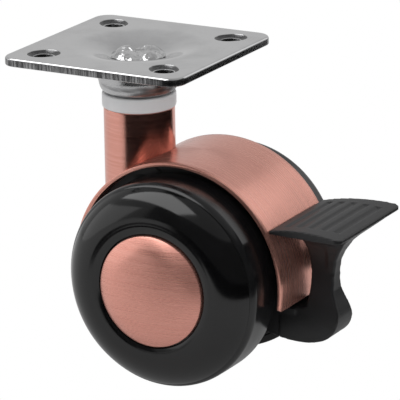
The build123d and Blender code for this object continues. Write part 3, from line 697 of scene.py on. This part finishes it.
def hoodStrip(sizes=hoodSizes):
    bm = bmesh.new()
    outer, inner, corner = sizes["outer"], sizes["outer"] - sizes["wall"], sizes["corner"]
    ease, bend = sizes["ease"], sizes["ease"] * sizes["easeMiddle"]
    span = radians(sizes["end"] - sizes["start"]) * outer
    ends, across = sizes["ends"], sizes["across"]
    middle = span - 2 * ends[-1]
    places = ends + [ends[-1] + middle * i / sizes["stations"] for i in range(1, sizes["stations"])]
    places += [span - end for end in reversed(ends)]
    rows = []
    for place in places:
        near = min(place, span - place, corner)
        half = sizes["half"] - corner + sqrt(max(corner**2 - (corner - near) ** 2, 0))
        turn = radians(sizes["start"]) + place / outer
        section = [(half - ease, outer), (half - bend, outer - bend), (half, outer - ease)]
        section += [(half, inner + ease), (half - bend, inner + bend), (half - ease, inner)]
        line = [(half - ease) * (1 - 2 * i / across) for i in range(1, across)]
        loop = section + [(y, inner) for y in line] + [(-y, r) for y, r in reversed(section)]
        loop += [(-y, outer) for y in line]
        corners = [(axleX + r * cos(turn), y, axleZ + r * sin(turn)) for y, r in loop]
        rows.append([bm.verts.new((x * mm, y * mm, z * mm)) for x, y, z in corners])
    count = len(rows[0])
    for a, b in zip(rows, rows[1:]):
        for i in range(count):
            bm.faces.new((a[i], a[(i + 1) % count], b[(i + 1) % count], b[i]))
    for row in (rows[0], rows[-1]):
        bm.faces.new(row)
    bmesh.ops.triangulate(bm, faces=[face for face in bm.faces if len(face.verts) > 4])
    bmesh.ops.recalc_face_normals(bm, faces=bm.faces)
    return asObject("hoodStrip", bm)


def hoodCutter(sizes=hoodSizes):
    bottom, top, radius = axleZ + 1, sizes["holeTop"], sizes["tubeHole"]
    rod = revolved([(bottom, 0), (bottom, radius), (top, radius), (top, 0)], "stem", sizes["holeSteps"])
    bmesh.ops.recalc_face_normals(rod, faces=rod.faces)
    return asObject("hoodCutter", rod)


hood = subtracted(hoodStrip(), hoodCutter())
finishPiece("hood_dressed", hood, "hoodCopper", "hood", 30.0, turnNormals=False)
print("castor: hood made")

# Wheels: profiles are (Y from the mid plane, radius), with the corner's radius where there is a third number
wheelSizes = {
    "shoulder": (21.96, 23.98), "bulge": (25.08, 20.87), "crest": (26.18, 16.4), "roll": (26.12, 15.1),
    "innerEdge": (25.84, 13.98), "steps": 200,
    "back": [(25.1, 13.77, 0.1), (25.1, 13.56, 0), (20.6, 13.55, 0), (20.6, 8.4, 0.6), (22.9, 8.4, 0.3),
             (22.9, 6.02, 0), (10.4, 6.02, 0), (10.4, 8.4, 0.3), (18.1, 8.4, 0.6), (18.1, 12.7, 0.4),
             (23.1, 16.4, 0.5), (23.1, 18.1, 0.5), (21.22, 21.5, 0.5), (11.4, 21.5, 0.3), (11.4, 23.15, 0),
             (21.6, 23.15, 0), (21.76, 23.86, 0.06)],
}
treadSizes = {
    "inner": 10.9, "taper": 17.0, "belt": (19.7, 24.94), "bend": (21.15, 24.56), "outer": 21.84,
    "radius": 25.0, "shoulder": 23.8, "bore": 23.2, "edge": 0.1, "boreRound": 0.2, "innerRound": 0.6,
    "steps": 200,
}
capSizes = {
    "rimY": 26.2, "apexY": 28.7, "radius": 13.5, "ball": 68.0, "shoulderFrom": 9.0, "power": 2.0,
    "edge": 0.45, "rimRound": 0.42, "wall": 0.8, "skirtY": 22.7, "domeSteps": 24, "underSteps": 12,
}


def wheelCore(hand, side, sizes=wheelSizes):
    face = arcThrough(sizes["shoulder"], sizes["bulge"], sizes["crest"], 26)
    roll = arcThrough(sizes["crest"], sizes["roll"], sizes["innerEdge"], 14)
    back = roundedOutline([(*sizes["innerEdge"], 0)] + sizes["back"] + [(*sizes["shoulder"], 0)])[1:-1]
    core = revolved([(side * y, r) for y, r in face + roll[1:] + back], "axle", sizes["steps"])
    finishPiece(f"{hand}_wheel_dressed", core, "faceGloss", f"{hand}_wheel", 28.0)


def wheelTread(hand, side, sizes=treadSizes):
    crown = [(sizes["taper"], sizes["radius"])]
    crown += arcThrough(sizes["belt"], sizes["bend"], (sizes["outer"], sizes["shoulder"]), 12)
    rest = roundedOutline([
        (*crown[-1], sizes["edge"]), (sizes["outer"], sizes["bore"], 0),
        (sizes["inner"], sizes["bore"], sizes["boreRound"]),
        (sizes["inner"], sizes["radius"], sizes["innerRound"]), (*crown[0], 0),
    ])
    tread = revolved([(side * y, r) for y, r in crown[:-1] + rest[:-1]], "axle", sizes["steps"])
    finishPiece(f"{hand}_tread_dressed", tread, "treadGloss", f"{hand}_tread", 35.0)


def wheelCap(hand, side, sizes=capSizes):
    ball, radius, bore = sizes["ball"], sizes["radius"], sizes["radius"] - sizes["wall"]
    left = sizes["apexY"] - sizes["rimY"] - ball + sqrt(ball**2 - radius**2)

    # The flat middle is a ball, and a power of the distance past it rounds the shoulder down to the rim
    def domeAt(r, depth=0.0):
        past = max(r - sizes["shoulderFrom"], 0) / (radius - sizes["shoulderFrom"])
        return sizes["apexY"] - depth - ball + sqrt(ball**2 - r**2) - left * past ** sizes["power"]

    steps, underSteps = sizes["domeSteps"], sizes["underSteps"]
    reaches = [radius * k / steps for k in range(steps)] + [radius - sizes["edge"]]
    dome = [(domeAt(r), r) for r in reaches]
    rim = roundedOutline([
        (*dome[-1], 0), (domeAt(radius), radius, sizes["rimRound"]), (sizes["skirtY"], radius, 0),
        (sizes["skirtY"], bore, 0),
    ])
    reaches = [bore * (1 - k / underSteps) for k in range(underSteps + 1)]
    under = [(domeAt(r, sizes["wall"]), r) for r in reaches]
    cap = revolved([(side * y, r) for y, r in dome[:-1] + rim + under], "axle")
    finishPiece(f"{hand}_cap_dressed", cap, "capCopper", f"{hand}_wheel_cap", 35.0)


for hand, side in (("left", -1), ("right", 1)):
    wheelCore(hand, side)
    wheelTread(hand, side)
    wheelCap(hand, side)
print("castor: wheels made")

# Brake lever: Geometry Nodes make the cutters of its grooves, then the moulding's edges are eased
leverSizes = {
    "voxel": 0.25, "pedalPasses": 4, "webPasses": 40, "push": 0.5, "pull": -0.52,
    "webTop": -36.6, "webStart": 43.0, "webFade": 2.0,
    "crown": ((42.0, -36.35), (51.75, -35.05), (61.5, -35.65)),
    "brow": [(60.9, -36.9, 9.0), (60.0, -37.65, 7.0), (58.7, -38.65, 5.4), (57.1, -39.9, 3.8),
             (55.8, -41.15, 2.8), (54.2, -43.65, 2.0), (53.3, -45.65, 1.75), (52.8, -48.75, 1.7),
             (52.7, -51.0, 1.95), (52.75, -53.0, 2.2)],
    "browInner": 51.0,
}
grooveSides = 40
grooveSizes = {
    "Count": 5, "Pitch": 3.25, "First X": 45.25, "Half Length": 11.0, "Radius": 0.95, "Depth": 0.32,
}


# Adds the brow, a hollow-backed rib that carries the pedal out to its edge: (x, z, half width) down its back
def addBrow(bm, sizes=leverSizes):
    rows = []
    for x, z, half in sizes["brow"]:
        corners = ((sizes["browInner"], -half), (x, -half), (x, half), (sizes["browInner"], half))
        rows.append([bm.verts.new((across * mm, y * mm, z * mm)) for across, y in corners])
    for upper, lower in zip(rows, rows[1:]):
        for i in range(4):
            j = (i + 1) % 4
            bm.faces.new((upper[i], lower[i], lower[j], upper[j]))
    bm.faces.new(rows[0])
    bm.faces.new(list(reversed(rows[-1])))


# Smooths the edges by passes that push each point to its neighbours' middle and pull it back: a few
# passes everywhere, and many where the weight of the web is 1
def easedLever(bm, sizes=leverSizes):
    addBrow(bm)
    blank = asObject("leverBlank", bm)
    bpy.context.scene.collection.objects.link(blank)
    remesh = blank.modifiers.new("remesh", "REMESH")
    remesh.mode, remesh.voxel_size = "VOXEL", sizes["voxel"] * mm
    dense = evaluatedMesh(blank)
    bpy.data.objects.remove(blank)
    count = len(dense.vertices)
    points = np.empty(count * 3, dtype=np.float32)
    dense.vertices.foreach_get("co", points)
    points = points.reshape(-1, 3).astype(np.float64)
    pairs = np.empty(len(dense.edges) * 2, dtype=np.int32)
    dense.edges.foreach_get("vertices", pairs)
    pairs = pairs.reshape(-1, 2)
    neighbours = np.bincount(pairs.ravel(), minlength=count)
    below = (sizes["webTop"] - points[:, 2] / mm) / sizes["webFade"]
    beyond = (points[:, 0] / mm - sizes["webStart"]) / sizes["webFade"]
    web = np.clip(below, 0, 1) * np.clip(beyond, 0, 1)
    for i in range(sizes["webPasses"]):
        for step in (sizes["push"], sizes["pull"]):
            total = np.zeros_like(points)
            for a, b in ((0, 1), (1, 0)):
                for axis in range(3):
                    weights = points[pairs[:, b], axis]
                    total[:, axis] += np.bincount(pairs[:, a], weights=weights, minlength=count)
            share = step if i < sizes["pedalPasses"] else step * web[:, None]
            points += share * (total / neighbours[:, None] - points)
    dense.vertices.foreach_set("co", points.astype(np.float32).ravel())
    dense.update()
    return asBmesh(dense)


# A geometry tree: a row of rods lying across the pedal, their tops following its crown
def grooveTree(sizes=leverSizes, values=grooveSizes):
    group = bpy.data.node_groups.new("pedalGrooves", "GeometryNodeTree")
    group.interface.new_socket("Geometry", in_out="OUTPUT", socket_type="NodeSocketGeometry")
    for name in values:
        kind = "NodeSocketInt" if name == "Count" else "NodeSocketFloat"
        group.interface.new_socket(name, in_out="INPUT", socket_type=kind)
    group.interface.new_socket("Material", in_out="INPUT", socket_type="NodeSocketMaterial")
    tree = Tree(group)
    given = tree.nodes.new("NodeGroupInput")
    value = {name: Link(tree, given.outputs[name]) for name in list(values) + ["Material"]}
    size = {name: value[name] * mm for name in values if name != "Count"}
    row = tree.add("GeometryNodeMeshLine", {"mode": "OFFSET"}, {
        "Count": value["Count"],
        "Start Location": tree.add("ShaderNodeCombineXYZ", None, {0: size["First X"]}),
        "Offset": tree.add("ShaderNodeCombineXYZ", None, {0: size["Pitch"]}),
    })
    (x0, z0), (x1, z1), (x2, z2) = sizes["crown"]
    slopeA, slopeB = (z1 - z0) / (x1 - x0), (z2 - z1) / (x2 - x1)
    bend = (slopeB - slopeA) / (x2 - x0)
    along = tree.add("ShaderNodeSeparateXYZ", None, {0: tree.add("GeometryNodeInputPosition")})
    x = along * (1 / mm)
    height = (z0 + (x - x0) * slopeA + (x - x0) * (x - x1) * bend) * mm + size["Radius"] - size["Depth"]
    lifted = tree.add("GeometryNodeSetPosition", None, {
        "Geometry": row, "Offset": tree.add("ShaderNodeCombineXYZ", None, {2: height}),
    })
    half = size["Half Length"]
    rod = tree.add("GeometryNodeCurvePrimitiveLine", None, {
        "Start": tree.add("ShaderNodeCombineXYZ", None, {1: -1.0 * half}),
        "End": tree.add("ShaderNodeCombineXYZ", None, {1: half}),
    })
    ring = tree.add("GeometryNodeCurvePrimitiveCircle", {"mode": "RADIUS"}, {
        "Resolution": grooveSides, "Radius": size["Radius"],
    })
    solid = tree.add("GeometryNodeCurveToMesh", None, {
        "Curve": rod, "Profile Curve": ring, "Fill Caps": True,
    })
    spread = tree.add("GeometryNodeInstanceOnPoints", None, {"Points": lifted, "Instance": solid})
    real = tree.add("GeometryNodeRealizeInstances", None, {"Geometry": spread})
    done = tree.add("GeometryNodeSetMaterial", None, {"Geometry": real, "Material": value["Material"]})
    output = tree.nodes.new("NodeGroupOutput")
    tree.links.new(done.socket, output.inputs[0])
    return group


def grooveCutters(values=grooveSizes):
    cutter = bpy.data.objects.new("grooveCutters", bpy.data.meshes.new("grooveCutters"))
    bpy.context.scene.collection.objects.link(cutter)
    modifier = cutter.modifiers.new("pedalGrooves", "NODES")
    modifier.node_group = grooveTree()
    given = {**values, "Material": finishes["leverPlastic"]}
    for item in modifier.node_group.interface.items_tree:
        if item.in_out == "INPUT":
            modifier[item.identifier] = given[item.name]
    rods = asBmesh(evaluatedMesh(cutter))
    bpy.data.objects.remove(cutter)
    bmesh.ops.recalc_face_normals(rods, faces=rods.faces)
    return asObject("grooveRods", rods)


grooved = subtracted(asObject("plainLever", nodeMesh("brake_lever")), grooveCutters())
finishPiece("lever_dressed", easedLever(grooved), "leverPlastic", "brake_lever", 38.0, turnNormals=False)
print("castor: brake lever made")

# The other nodes keep their shape: smooth-shaded merged copies with a finished material
plainNodes = {
    "carrier": "carrierPlastic", "axle": "steel", "head_spacer": "steel", "kingpin_washer": "steel",
    "kingpin_clip": "springSteel", "lower_bush": "nylon", "stem_pin": "steel", "lever_pin": "steel",
    "brake_bar": "steel", "detent_spring": "springSteel",
}
for hand in ("left", "right"):
    plainNodes.update({
        f"{hand}_spacer_washer": "steel", f"{hand}_axle_clip": "springSteel", f"{hand}_wheel_bush": "acetal",
        f"{hand}_brake_pad": "padRubber",
    })
for node, finish in plainNodes.items():
    finishPiece(f"{node}_dressed", nodeMesh(node), finish, node, 25.0, turnNormals=False)
print("castor: inner pieces made")

# Camera: azimuth, elevation and roll in degrees about a target on the castor
view = {
    "azimuth": 29.213, "elevation": 17.173, "roll": -0.823, "distance": 0.7724,
    "target": (0.015474, 0.001356, -0.036665), "focalPixels": 3233.6, "photoPixels": 400, "sensor": 36.0,
    "clip": (0.01, 20.0),
}
turn, rise, roll = (radians(view[key]) for key in ("azimuth", "elevation", "roll"))
backwards = Vector((sin(turn) * cos(rise), -cos(turn) * cos(rise), sin(rise)))
rightwards = Vector((cos(turn), sin(turn), 0))
upwards = backwards.cross(rightwards)
rolledRight = cos(roll) * rightwards + sin(roll) * upwards
rolledUp = -sin(roll) * rightwards + cos(roll) * upwards
cameraData = bpy.data.cameras.new("camera")
cameraData.sensor_width = view["sensor"]
cameraData.lens = view["sensor"] * view["focalPixels"] / view["photoPixels"]
cameraData.clip_start, cameraData.clip_end = view["clip"]
camera = bpy.data.objects.new("camera", cameraData)
camera.matrix_world = Matrix.Translation(Vector(view["target"]) + view["distance"] * backwards) @ Matrix(
    (rolledRight, rolledUp, backwards)).transposed().to_4x4()
bpy.context.scene.collection.objects.link(camera)
bpy.context.scene.camera = camera

# Studio: panels and cards stand round the object, and azimuth counts from the camera to its right, in degrees
middle = Vector((0.0155, 0.0, -0.037))
floorLevel = -0.07627
panels = {
    "leftPanel": {"azimuth": -92, "elevation": 6, "distance": 0.7, "size": (0.65, 0.5), "radiance": 0.7},
    "topPanel": {"azimuth": -75, "elevation": 58, "distance": 0.6, "size": (0.72, 0.40), "radiance": 2.5},
    "rightPanel": {"azimuth": 126, "elevation": 25, "distance": 0.8, "size": (0.4, 0.4), "radiance": 0.4},
    "backPanel": {"azimuth": 145, "elevation": 42, "distance": 0.7, "size": (0.5, 0.5), "radiance": 2.2},
    "fillPanel": {"azimuth": 25, "elevation": 25, "distance": 0.8, "size": (0.6, 0.6), "radiance": 1.7},
}
matteOnly = ("backPanel", "fillPanel")  # these light the object and aren't mirrored in it
cards = {
    "nearCard": {"turns": (-62, 142), "reach": (0.122, 0.165), "rise": (0.0004, 0.0004), "shade": 0.005},
    "sideCard": {"turns": (112, 142), "reach": (0.165, 0.21), "rise": (0.0004, 0.0004), "shade": 0.005},
    "floorCard": {"turns": (-51, 134), "reach": (0.165, 0.62), "rise": (0.0004, 0.0004), "shade": 0.005},
    "wallCard": {"turns": (-58, 112), "reach": (0.62, 0.62), "rise": (0.0, 0.48), "shade": 0.09},
}


def heading(azimuth):
    return radians(-90 + view["azimuth"] + azimuth)


def standing(place):
    turn, lift = heading(place["azimuth"]), radians(place["elevation"])
    away = Vector((cos(turn) * cos(lift), sin(turn) * cos(lift), sin(lift)))
    return middle + away * place["distance"], away.to_track_quat("Z", "Y")


for name, place in panels.items():
    light = bpy.data.lights.new(name, "AREA")
    light.shape = "RECTANGLE"
    light.size, light.size_y = place["size"]
    light.energy = place["radiance"] * pi * place["size"][0] * place["size"][1]
    lamp = bpy.data.objects.new(name, light)
    lamp.location, rotation = standing(place)
    lamp.rotation_mode, lamp.rotation_quaternion = "QUATERNION", rotation
    bpy.context.scene.collection.objects.link(lamp)
    lamp.visible_glossy = name not in matteOnly


def stageMaterial(name, colour, roughness=0.9, specular=0.0):
    material = bpy.data.materials.new(name)
    material.use_nodes = True
    shader = material.node_tree.nodes["Principled BSDF"]
    shader.inputs["Base Color"].default_value = rgba(colour)
    shader.inputs["Roughness"].default_value = roughness
    shader.inputs["Specular IOR Level"].default_value = specular
    return material


# A card is a strip of a disc or a wall round the object, seen in reflections only
cardSteps = 24
for name, place in cards.items():
    mesh = bpy.data.meshes.new(name)
    points, faces = [], []
    first, last = place["turns"]
    for i in range(cardSteps + 1):
        turn = heading(first + (last - first) * i / cardSteps)
        points += [
            (middle.x + reach * cos(turn), middle.y + reach * sin(turn), floorLevel + rise)
            for reach, rise in zip(place["reach"], place["rise"])
        ]
        if i:
            faces.append((2 * i - 2, 2 * i - 1, 2 * i + 1, 2 * i))
    mesh.from_pydata(points, [], faces)
    mesh.materials.append(stageMaterial(name, (place["shade"],) * 3))
    card = bpy.data.objects.new(name, mesh)
    bpy.context.scene.collection.objects.link(card)
    card.visible_camera = card.visible_diffuse = card.visible_shadow = False

# Floor: plain and pale, white to the camera
floorSizes = {
    "half": 2.5, "white": 0.55, "roughness": 0.85, "specular": 0.2, "seenShare": 1.0, "glossyGlow": 0.25,
}
white = rgba((1.0, 1.0, 1.0))


def paleFloor(sizes=floorSizes):
    material = stageMaterial("paleFloor", (sizes["white"],) * 3, sizes["roughness"], sizes["specular"])
    tree = Tree(material.node_tree)
    path = tree.nodes.new("ShaderNodeLightPath")
    rays = ("Is Camera Ray", "Is Glossy Ray", "Is Transmission Ray")
    seen, glossy, through = (Link(tree, path.outputs[ray]) for ray in rays)
    glow = tree.add("ShaderNodeEmission", None, {"Color": white})
    share = seen * sizes["seenShare"] + (glossy + through) * sizes["glossyGlow"]
    matte = Link(tree, tree.nodes["Principled BSDF"].outputs[0])
    mixed = tree.add("ShaderNodeMixShader", None, {0: share, 1: matte, 2: glow})
    tree.links.new(mixed.socket, tree.nodes["Material Output"].inputs["Surface"])
    mesh = bpy.data.meshes.new("floor")
    corners = [(sx * sizes["half"], sy * sizes["half"], floorLevel) for sx, sy in quarters]
    mesh.from_pydata(corners, [], [(0, 1, 2, 3)])
    mesh.materials.append(material)
    floor = bpy.data.objects.new("floor", mesh)
    bpy.context.scene.collection.objects.link(floor)


# World: white to the camera, a soft grey tent for the light, paler behind the object than before it
worldSizes = {"behind": 0.62, "before": 0.30}


def greyTent(sizes=worldSizes):
    world = bpy.data.worlds.new("studio")
    bpy.context.scene.world = world
    world.use_nodes = True
    tree = Tree(world.node_tree)
    seen = Link(tree, tree.nodes.new("ShaderNodeLightPath").outputs["Is Camera Ray"])
    direction = tree.add("ShaderNodeTexCoord")
    towards = tree.add("ShaderNodeVectorMath", {"operation": "DOT_PRODUCT"}, {
        0: direction, 1: tuple(backwards),
    }, output=1)
    tent = tree.ramp(towards, -1.0, 1.0, (sizes["behind"], sizes["before"]))
    strength = seen + (1 - seen) * tent
    background = tree.nodes["Background"]
    background.inputs["Color"].default_value = white
    tree.links.new(strength.socket, background.inputs["Strength"])


paleFloor()
greyTent()
bpy.context.scene.view_settings.view_transform = "Standard"
print("castor: studio made")
